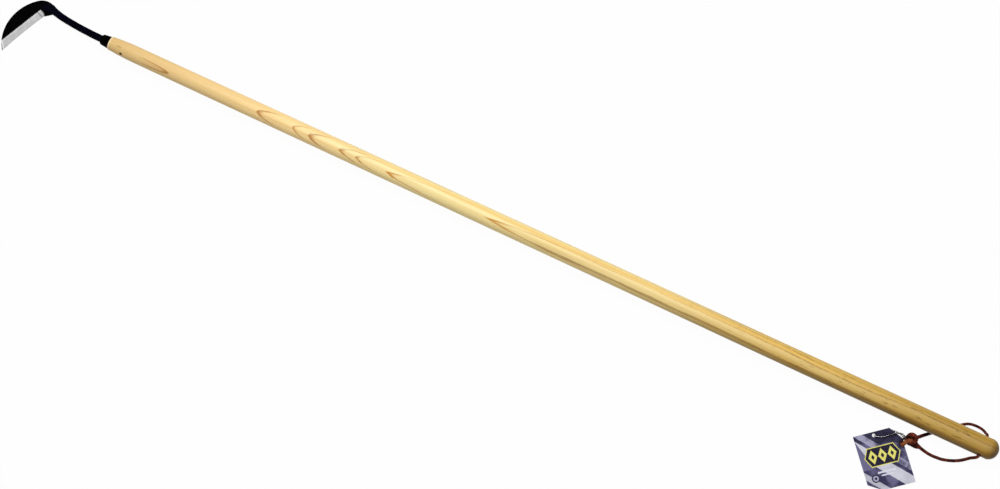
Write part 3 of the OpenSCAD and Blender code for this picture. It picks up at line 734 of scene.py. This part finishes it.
# Hanging lace
# the runs' points are given from the cross hole, and LIE is their height on the floor
LIE = 1.8
NEAR = [(0, 0, AXIS_Z), (0, -7, AXIS_Z), (0, -14.5, AXIS_Z), (-1, -17.4, 17.8), (-3.1, -19, 15.6),
        (-6, -19.8, 12.8), (-9.2, -21, 9.8), (-12.8, -23.2, 6.8), (-17.3, -26.2, 4.2),
        (-22.4, -29.2, 2.6), (-28.5, -32.2, LIE), (-36, -35.2, LIE), (-43.5, -37.4, LIE),
        (-51, -38.2, LIE), (-58.3, -38.6, LIE), (-65.5, -38, LIE), (-72.5, -36.7, 2.2),
        (-78.8, -35.3, 3.2), (-84, -33.8, 4.8), (-88.5, -32.2, 6.6)]
FAR = [(0, 0, AXIS_Z), (0, 7, AXIS_Z), (0, 14.5, AXIS_Z), (-0.8, 17.6, 17.6), (-2.2, 19.4, 14.6),
       (-3.9, 21.2, 11.6), (-6.3, 23.6, 8.6), (-9.6, 25.8, 5.8), (-14, 27.4, 3.5),
       (-19.5, 28, 2.2), (-25.5, 27.6, LIE), (-31.5, 25.6, LIE), (-37.2, 21.8, LIE),
       (-43, 16.8, LIE), (-48.8, 11.7, LIE), (-54.5, 6.6, LIE), (-60, 1.1, LIE), (-65.5, -3.5, LIE),
       (-70.8, -8.1, LIE), (-76, -13, 2.2), (-81, -18.2, 3.6), (-85.2, -23.2, 5.4),
       (-89, -27, 7)]
LACE_TWIST, LACE_WOBBLE = 5.0, 0.09
RUN_STEPS = 8


def lace_run(name, points, node, thick, at_knot, swells):
    """One run of the lace. From the share swells on it widens to at_knot, and rises less."""
    line = spline(from_hole(points), RUN_STEPS)

    def size(share):
        swollen = min(1, max(0, (share - swells) / (1 - swells)))
        more = (at_knot - thick) * swollen * swollen
        return ((thick + more) / MM, (thick + more * 0.6) / MM)
    verts, faces = tube(line, size, LACE_TWIST, LACE_WOBBLE)
    run = piece(name, verts, faces, [LEATHER], "lace_loop")
    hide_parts(node)
    return run, line


near, near_line = lace_run("lace_run_near", NEAR, "lace_near", 4.5, 6.6, 0.78)
far, far_line = lace_run("lace_run_far", FAR, "lace_far", 4.0, 6.0, 0.50)

# Knot and tails
# the doubled lace goes once round as an overhand knot, and its ends come up through the turn
KNOT = (-92.6, -31.0)
KNOT_WOBBLE, KNOT_SEED = 0.04, 7.0
STRAND_STEPS = 6


def coil(radius, heights, start, stop, steps, size):
    """Points on a turn round the knot's middle, in degrees, and from one height to another."""
    points = []
    for step in range(steps + 1):
        share = step / steps
        angle = math.radians(start + (stop - start) * share)
        points.append((KNOT[0] + radius * math.cos(angle), KNOT[1] + radius * math.sin(angle),
                       heights[0] + (heights[1] - heights[0]) * share, *size))
    return points


# place, width and height of each strand
HIGH = [(-83.2, -20.8, 4.5, 3.2, 3.0), (-87.0, -25.2, 5.4, 4.8, 4.4), (-92.5, -26.8, 5.2, 4.8, 4.4),
        (-98.2, -27.6, 7.2, 5.0, 4.4), *coil(5.8, (9.8, 9.4), 142, -96, 12, (6.4, 5.4)),
        (-93.8, -36.4, 6.8, 5.0, 4.4), (-94.8, -33.6, 6.0, 4.8, 3.4), (-94.0, -31.0, 6.6, 4.8, 3.3),
        (-93.6, -29.8, 8.4, 3.6, 3.3), (-94.8, -29.0, 9.6, 4.2, 3.0), (-96.6, -28.9, 9.2, 4.6, 3.0),
        (-98.8, -29.4, 8.0, 4.2, 3.0), (-100.8, -31.5, 6.9, 3.4, 3.0), (-102.7, -34.5, 6.2, 3.2, 2.8),
        (-103.7, -36.9, 5.9, 3.4, 2.8), (-103.5, -39.2, 5.7, 5.0, 2.6), (-103.3, -41.4, 5.5, 6.0, 2.6),
        (-103.8, -43.8, 5.4, 5.6, 2.6)]
LOW = [(-75.6, -36.0, 2.5, 2.6, 2.4), (-79.8, -36.5, 3.3, 4.6, 4.0), (-84.2, -37.5, 4.3, 5.4, 4.8),
       *coil(6.0, (4.8, 4.6), -72, -292, 9, (6.6, 4.8)), (-88.9, -28.4, 5.0, 4.4, 4.2),
       (-89.6, -30.6, 6.2, 4.6, 3.6), (-89.6, -32.4, 8.8, 4.4, 3.4), (-90.8, -33.5, 11.5, 4.6, 3.2),
       (-93.6, -34.8, 11.5, 5.4, 3.0), (-96.8, -36.8, 10.8, 6.3, 2.6), (-98.6, -39.6, 9.6, 6.2, 2.7),
       (-100.2, -43.0, 8.3, 5.7, 2.8), (-102.0, -46.2, 7.6, 5.6, 2.8)]


def strand(name, points, tail_from, tail_mat):
    """One strand of the knot. Its tail starts at a point's index and is cut at its end."""
    last = len(points) - 1
    just_before = last - 0.001

    def size(share):
        where = min(share * last, just_before)
        here, after = points[int(where)], points[int(where) + 1]
        return tuple((here[part] + (after[part] - here[part]) * (where - int(where))) / MM
                     for part in (3, 4))
    line = spline(from_hole([point[:3] for point in points]), STRAND_STEPS)
    verts, faces = tube(line, size, 0.0, KNOT_WOBBLE, KNOT_SEED)
    slots = [1 if face // SIDES >= tail_from * STRAND_STEPS else 0 for face in range(len(faces) - 2)]
    slots += [0, 2]
    return piece(name, verts, faces, [LEATHER, tail_mat, CUT], "lace_loop", slots)


made = [strand("knot_strand_high", HIGH, 21, DARK_TAIL), strand("knot_strand_low", LOW, 16, WORN_TAIL)]
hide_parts("lace_knot", "lace_tails")

# Neck
# from the ferrule's front to the root of the palm, which is REACH before the wood and SIDE off its
# axis, with the widths and heights of the bar and the palm
FERRULE_LEN, REACH, SIDE = 13.5, 106.0, 14.3
NECK_START = -12.3
BAR_W, BAR_H, PALM_T, BLADE_T = 9.8, 8.0, 3.2, 3.0
TURN, PALM_TURN, PALM_LEN = math.radians(22.5), math.radians(12.5), 10.8
ROOT_W, PALM_W = 11.3, 13.0
# how far each end of the bar keeps its own direction
BAR_PULL, ROOT_PULL = 24, 19
BAR_STEPS, PALM_STEPS, END_STEPS = 90, 18, 16
CORNER_SHARE, CORNER_STEPS = 0.30, 9
# the section's corners: to which side and up or down, and the angle at which each starts
CORNERS = ((1, 1, 0), (-1, 1, 90), (-1, -1, 180), (1, -1, 270))
# hammered unevenness: height and scale of the broad and the fine one, and where it starts, above
# the underside and in front of the ferrule
BROAD_DENTS, FINE_DENTS = (0.16, 0.16), (0.07, 0.6)
DENTS_ABOVE, DENTS_BEFORE = 0.4, -FERRULE_LEN - 1


def plan(x, y):
    return Vector((x, y))


def neck_line():
    """The neck's middle line seen from above, how far along it each point is, and the palm's end
    and direction. The share goes from 0 to 1 along the bar and on to 2 along the palm."""
    bar = plan(-FERRULE_LEN, 0)
    root = plan(-REACH, SIDE)
    bar_pull = plan(-FERRULE_LEN - BAR_PULL, 0)
    root_pull = root + ROOT_PULL * plan(math.cos(TURN), -math.sin(TURN))
    middle = root + PALM_LEN / 2 * plan(-math.cos(TURN), math.sin(TURN))
    end = root + PALM_LEN * plan(-math.cos(PALM_TURN), -math.sin(PALM_TURN))
    line, shares = [plan(NECK_START, 0)], [0.0]
    for step in range(BAR_STEPS + 1):
        t = step / BAR_STEPS
        line.append((1 - t) ** 3 * bar + 3 * (1 - t) ** 2 * t * bar_pull
                    + 3 * (1 - t) * t * t * root_pull + t ** 3 * root)
        shares.append(t)
    for step in range(1, PALM_STEPS + 1):
        t = step / PALM_STEPS
        line.append((1 - t) ** 2 * root + 2 * (1 - t) * t * middle + t * t * end)
        shares.append(1 + t)
    return line, shares, end, (end - middle).normalized()


def neck_rings():
    """Each ring's middle, direction, width, underside and top."""
    line, shares, end, palm_way = neck_line()
    ways = [(after - before).normalized() for before, after in zip(line[1:], line[3:])]
    ways = [plan(-1, 0), plan(-1, 0), *ways, palm_way]
    rings = []
    for middle, way, share in zip(line, ways, shares):
        bar, palm = min(1, share), max(0, share - 1)
        eased = bar * bar * (3 - 2 * bar)
        width = BAR_W + (ROOT_W - BAR_W) * bar ** 4
        width += (PALM_W - width) * palm
        low = (AXIS_Z - BAR_H / 2) * (1 - eased) + BLADE_T * eased
        rings.append((middle, way, width, low, low + BAR_H + (PALM_T - BAR_H) * eased))
    # the round end stops just short of its tip
    almost = 0.996
    for step in range(1, END_STEPS + 1):
        out = math.sin(math.pi / 2 * step / END_STEPS) * almost
        rings.append((end + PALM_W / 2 * out * palm_way, palm_way,
                      PALM_W * math.sqrt(1 - out * out), BLADE_T, BLADE_T + PALM_T))
    return rings


def dented(point, outward):
    """The point, moved along outward by the hammer's unevenness."""
    (broad, broad_scale), (fine, fine_scale) = BROAD_DENTS, FINE_DENTS
    swell = broad * noise.noise(point * broad_scale) + fine * noise.noise(point * fine_scale)
    return point + swell * outward


def neck():
    points = []
    rings = neck_rings()
    for middle, way, width, low, high in rings:
        radius = min(width, high - low) * CORNER_SHARE
        aside = plan(-way.y, way.x)
        for side, rise, base in CORNERS:
            for step in range(CORNER_STEPS):
                angle = math.radians(base + 90 * step / (CORNER_STEPS - 1))
                out = side * (width / 2 - radius) + radius * math.cos(angle)
                z = (low + high) / 2 + rise * ((high - low) / 2 - radius) + radius * math.sin(angle)
                point = Vector((*(middle + out * aside), z))
                if z > low + DENTS_ABOVE and middle.x < DENTS_BEFORE:
                    point = dented(point, Vector((*(aside * math.cos(angle)), math.sin(angle))))
                points.append(at(*point))
    faces = skin(len(rings), len(CORNERS) * CORNER_STEPS)
    bar = piece("neck_bar", points, faces, [NECK], "tool")
    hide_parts("neck_tang")


neck()

# Tag
# the flat card's outline from its punched hole, and how it lies: turned, with its foot on the floor
TAG_HOLE_Z, TAG_FOOT, TAG_SIDE = 3.4, -78, 37
TAG_HOLE = at(HOLE_X - 142, -48, TAG_HOLE_Z)
TAG_TURN, TAG_TILT = math.radians(41), math.asin(TAG_HOLE_Z / -TAG_FOOT)
OUTLINE = [(-29, 5), (24, 5), (TAG_SIDE, -13), (TAG_SIDE, TAG_FOOT), (-10, TAG_FOOT), (-29, -66)]
PUNCH_R = 2.5
SPOKES, TAG_RINGS = 96, 26
RING_GROWTH = 1.15
TAG_TOP, TAG_UNDER = 0.58, 0.02
# the lower corner's curl and where it starts below the hole, and the wave and its two rates
CURL, CURL_FROM = 0.35, 40
WAVE, WAVE_ACROSS, WAVE_UP = 0.12, 0.09, 0.06


def reach_to_outline(turn):
    """How far the outline is from the hole's middle that way."""
    nothing, slack = 1e-9, 1e-6
    way = plan(math.cos(turn), math.sin(turn))
    best = math.inf
    for (start_x, start_y), (stop_x, stop_y) in zip(OUTLINE, OUTLINE[1:] + OUTLINE[:1]):
        edge_x, edge_y = stop_x - start_x, stop_y - start_y
        crossing = way.x * edge_y - way.y * edge_x
        if abs(crossing) < nothing:
            continue
        reach = (start_x * edge_y - start_y * edge_x) / crossing
        share = (start_x * way.y - start_y * way.x) / crossing
        if reach > 0 and -slack <= share <= 1 + slack:
            best = min(best, reach)
    return best


def tag_spokes():
    """Angle and reach of each spoke. The outline's own corners replace the nearest spokes."""
    turns = [FULL_TURN * step / SPOKES for step in range(SPOKES)]
    spokes = [(turn, reach_to_outline(turn)) for turn in turns]
    for x, y in OUTLINE:
        corner = math.atan2(y, x) % FULL_TURN
        nearest = min(range(SPOKES), key=lambda index: abs(
            (spokes[index][0] - corner + math.pi) % FULL_TURN - math.pi))
        spokes[nearest] = (corner, math.hypot(x, y))
    return spokes


def lifted(across, up_card, height):
    """Place of a point of the card, which has been handled: it curls a little and has a wave."""
    curl = CURL * max(0, (-up_card - CURL_FROM) / CURL_FROM) ** 2 * max(0, across / TAG_SIDE) ** 2
    wave = WAVE * math.sin(across * WAVE_ACROSS) * math.sin(up_card * WAVE_UP)
    level = up_card * math.cos(TAG_TILT)
    raised = up_card * math.sin(TAG_TILT) + height + curl + max(0, wave)
    cosine, sine = math.cos(TAG_TURN), math.sin(TAG_TURN)
    return TAG_HOLE + Vector((across * cosine - level * sine, across * sine + level * cosine,
                              raised)) / MM


def tag():
    """The sheet: a fan of quads between the round hole and the outline, in rings."""
    spokes = tag_spokes()
    flat = []
    for ring in range(TAG_RINGS + 1):
        share = (ring / TAG_RINGS) ** RING_GROWTH
        for turn, reach in spokes:
            radius = PUNCH_R + (reach - PUNCH_R) * share
            flat.append((radius * math.cos(turn), radius * math.sin(turn)))
    points = [lifted(*spot, TAG_TOP) for spot in flat] + [lifted(*spot, TAG_UNDER) for spot in flat]
    under = len(flat)
    last = TAG_RINGS * SPOKES
    faces, slots = [], []
    for ring in range(TAG_RINGS):
        for step in range(SPOKES):
            here, beside = ring * SPOKES + step, ring * SPOKES + (step + 1) % SPOKES
            faces.append((here, here + SPOKES, beside + SPOKES, beside))
            faces.append((under + here, under + beside, under + beside + SPOKES, under + here + SPOKES))
            slots += [0, 0]
    for step in range(SPOKES):
        here, beside = step, (step + 1) % SPOKES
        faces.append((here, beside, under + beside, under + here))
        faces.append((last + here, under + last + here, under + last + beside, last + beside))
        slots += [1, 1]
    sheet = piece("tag_sheet", points, faces, [card(), card_edge()], "tag", slots, smooth=False)
    layer = sheet.data.uv_layers.new(name="card")
    for loop in sheet.data.loops:
        layer.data[loop.index].uv = flat[loop.vertex_index % under]
    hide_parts("tag_card")


tag()


# The other CAD nodes
def dress(name, mat):
    for slot in nodes[name].material_slots:
        slot.material = mat
    if not nodes[name].material_slots:
        nodes[name].data.materials.append(mat)


dress("pole", wood())
dress("ferrule", BLACK)
dress("tang_pin", PIN)
dress("blade", blade_steel())
dress("ball_chain", plated())
dress("chain_clasp", plated())

# Floor and light
FLOOR_HALF, FLOOR_Z = 6.0, -0.0003
FLOOR_GREY = 0.62
FLOOR_GLOW = 0.97
AMBIENT = 0.42
WHITE = grey(1)
# name, place, size in metres and power in watts of each lamp, which points at the frame's middle
LAMPS = (("key", (-0.4, 0.75, 2.9), (2.6, 1.2), 74), ("fill", (0.9, -2.2, 2.0), (2.4, 1.4), 4))


def floor_material():
    """Plain grey in the object's light, and nearly white to the camera and in reflections."""
    net = Net("floor")
    ray = net.add("ShaderNodeLightPath").outputs
    seen = net.calc("MAXIMUM", ray["Is Camera Ray"], ray["Is Glossy Ray"])
    glow = net.add("ShaderNodeEmission", {"Color": WHITE, "Strength": 1.0})
    mixed = net.add("ShaderNodeMixShader", {0: net.times(seen, FLOOR_GLOW), 1: net.shader.outputs[0],
                                            2: glow.outputs[0]})
    net.tree.links.new(mixed.outputs[0], net.out.inputs[0])
    return net.shade(Base_Color=grey(FLOOR_GREY), Roughness=0.9, Specular_IOR_Level=0.0)


corners = [(x * FLOOR_HALF, y * FLOOR_HALF, FLOOR_Z) for x, y in ((-1, -1), (1, -1), (1, 1), (-1, 1))]
floor_mesh = bpy.data.meshes.new("floor")
floor_mesh.from_pydata(corners, [], [(0, 1, 2, 3)])
floor_mesh.materials.append(floor_material())
floor = bpy.data.objects.new("floor", floor_mesh)
scene.collection.objects.link(floor)

world = bpy.data.worlds.new("studio")
scene.world = world
world.use_nodes = True
tree = world.node_tree
tree.nodes.clear()
ambient = tree.nodes.new("ShaderNodeBackground")
ambient.inputs["Color"].default_value = WHITE
ambient.inputs["Strength"].default_value = AMBIENT
tree.links.new(ambient.outputs[0], tree.nodes.new("ShaderNodeOutputWorld").inputs[0])

for lamp_name, lamp_place, lamp_size, power in LAMPS:
    light = bpy.data.lights.new(lamp_name, "AREA")
    light.shape = "RECTANGLE"
    light.size, light.size_y = lamp_size
    light.energy = power
    lamp = bpy.data.objects.new(lamp_name, light)
    scene.collection.objects.link(lamp)
    lamp.location = lamp_place
    lamp.rotation_mode = "QUATERNION"
    lamp.rotation_quaternion = (-Vector(lamp_place)).to_track_quat("-Z", "Y")

scene.view_settings.view_transform = "Standard"
